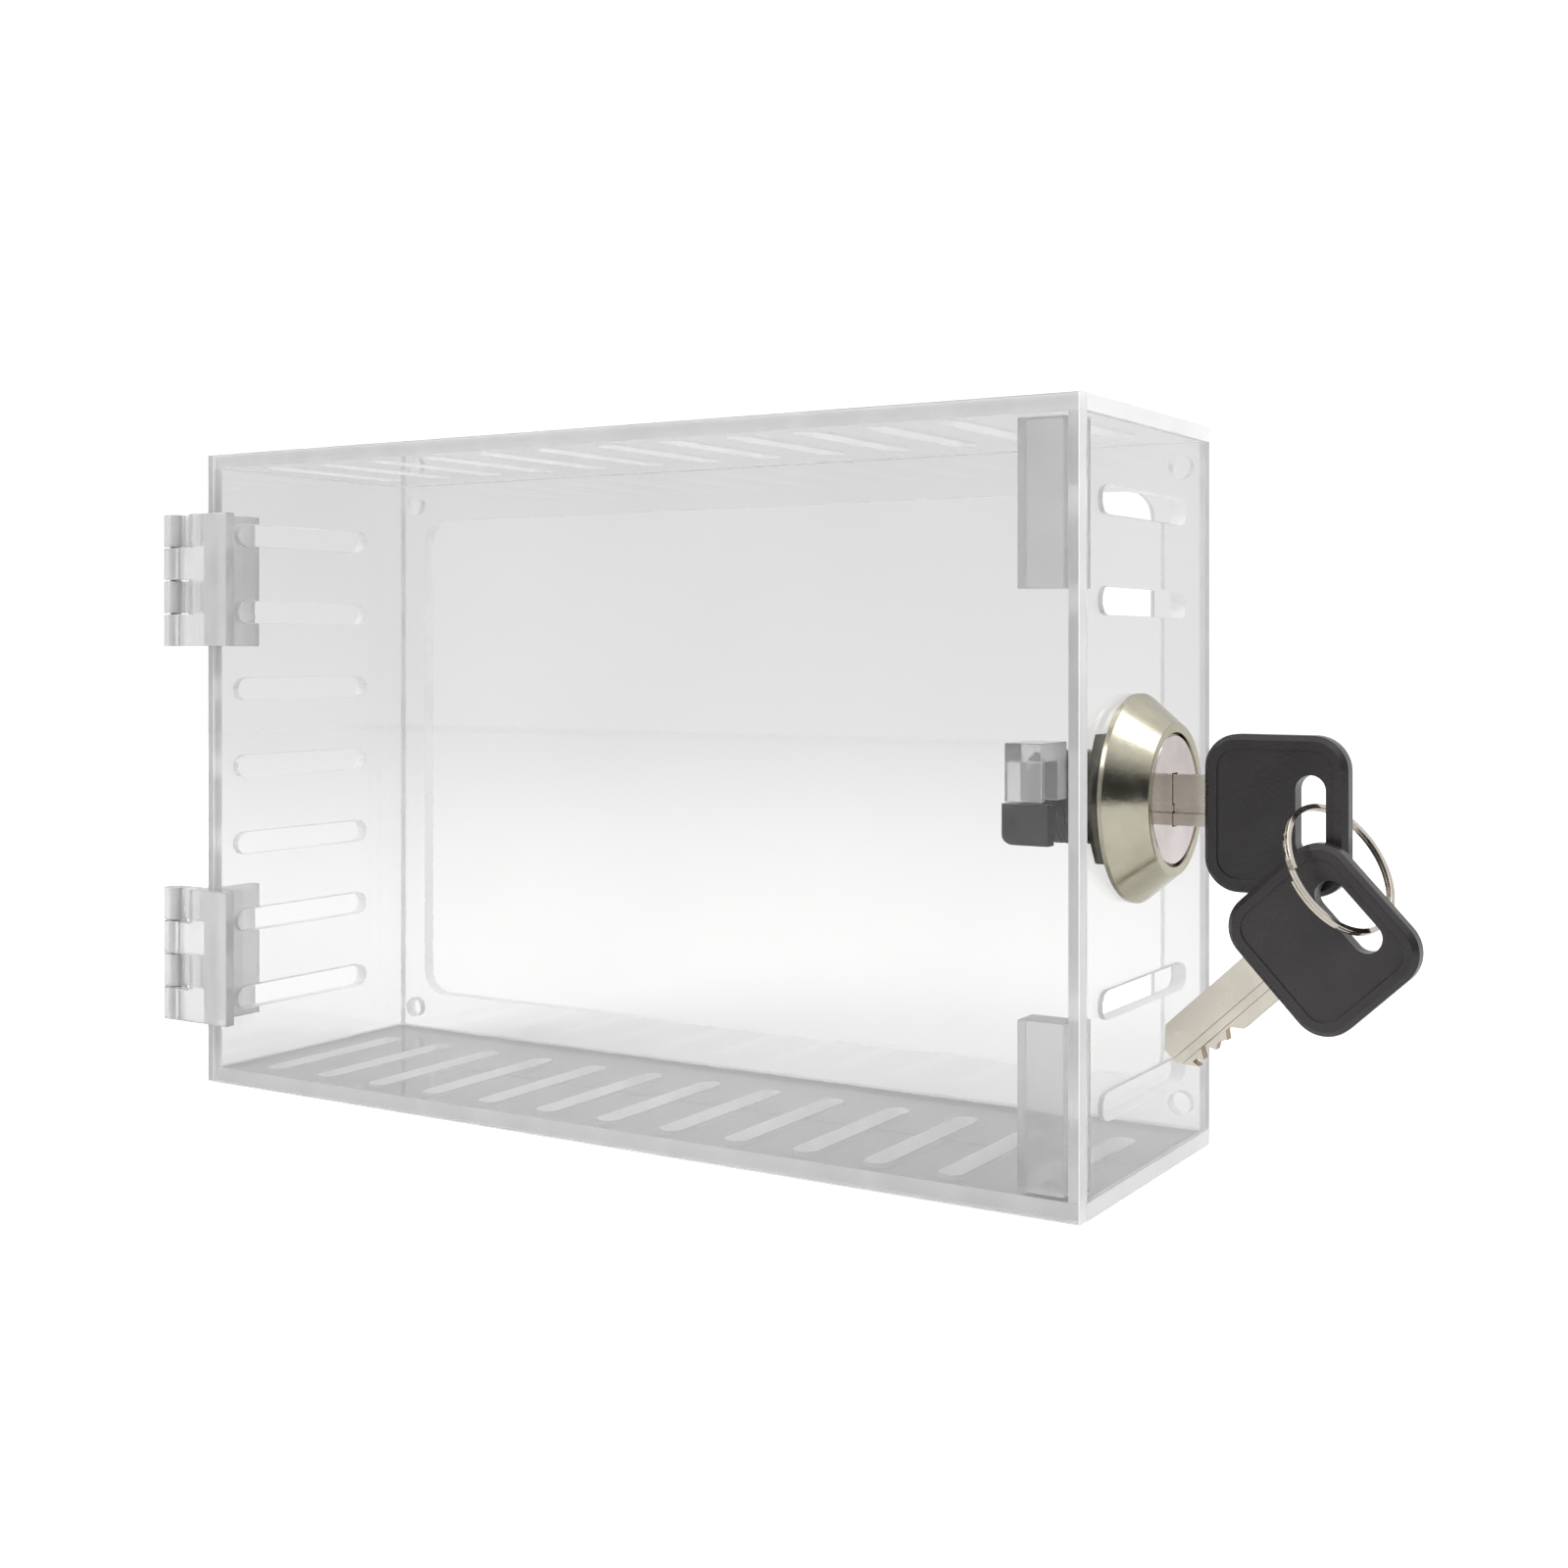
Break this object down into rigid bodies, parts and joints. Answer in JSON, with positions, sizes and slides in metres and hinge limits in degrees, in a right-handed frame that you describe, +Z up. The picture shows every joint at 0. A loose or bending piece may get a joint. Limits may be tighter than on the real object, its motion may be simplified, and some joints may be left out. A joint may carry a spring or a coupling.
{
  "type": "thermostat lock box",
  "caption": "Clear acrylic lock box that covers a wall thermostat, with vent slots, a side-hinged front door, a cam lock and keys on a ring.",
  "frame": {"origin": "centre of the four wall screw holes, on the back face that lies against the wall", "axes": "+X along the box's width, towards the lock; +Y into the wall; +Z up"},
  "size_m": [0.2735, 0.0666, 0.14],
  "materials": {
    "acrylic": "clear, polished",
    "bezel_nickel": "satin nickel plate",
    "plug_chrome": "bright plate",
    "lock_zinc": "dark zinc, satin",
    "wafer_brass": "stamped",
    "pin_steel": "bright",
    "ring_steel": "bright",
    "key_nickel": "nickel silver, worn",
    "bow_black": "satin black"
  },
  "bodies": {
    "case": {"back_frame": "acrylic", "top_wall": "acrylic", "bottom_wall": "acrylic", "left_wall": "acrylic", "right_wall": "acrylic", "upper_case_hinge": "acrylic", "lower_case_hinge": "acrylic", "upper_hinge_pin": "pin_steel", "lower_hinge_pin": "pin_steel", "lock_housing": "bezel_nickel", "lock_washer": "pin_steel", "lock_nut": "lock_zinc"},
    "door": {"door_panel": "acrylic", "upper_door_hinge": "acrylic", "lower_door_hinge": "acrylic", "upper_stop_block": "acrylic", "lower_stop_block": "acrylic", "door_strike": "acrylic"},
    "plug": {"lock_plug": "plug_chrome", "lock_wafers": "wafer_brass", "lock_cam": "lock_zinc", "cam_washer": "pin_steel", "cam_screw": "pin_steel"},
    "key": {"key_blade": "key_nickel", "key_bow": "bow_black"},
    "ring": {"key_ring": "ring_steel"},
    "spare": {"spare_blade": "key_nickel", "spare_bow": "bow_black"}
  },
  "joints": [
    {"name": "door_swing", "type": "hinge", "parent": "case", "child": "door", "pos_m": [-0.1149, -0.064, 0], "axis": [0, 0, -1], "range_deg": [0, 170]},
    {"name": "lock_turn", "type": "hinge", "parent": "case", "child": "plug", "pos_m": [0.1, -0.038, 0], "axis": [-1, 0, 0], "range_deg": [-70, 20]},
    {"name": "key_pull", "type": "slide", "parent": "plug", "child": "key", "axis": [1, 0, 0], "range_m": [0, 0.03]},
    {"name": "ring_swing", "type": "hinge", "parent": "key", "child": "ring", "pos_m": [0.1367, -0.038, -0.0004], "axis": [0, -1, 0], "range_deg": [-2, 40]},
    {"name": "spare_swing", "type": "hinge", "parent": "ring", "child": "spare", "pos_m": [0.14686, -0.0434, -0.02008], "axis": [0, -1, 0], "range_deg": [-2, 30]}
  ]
}
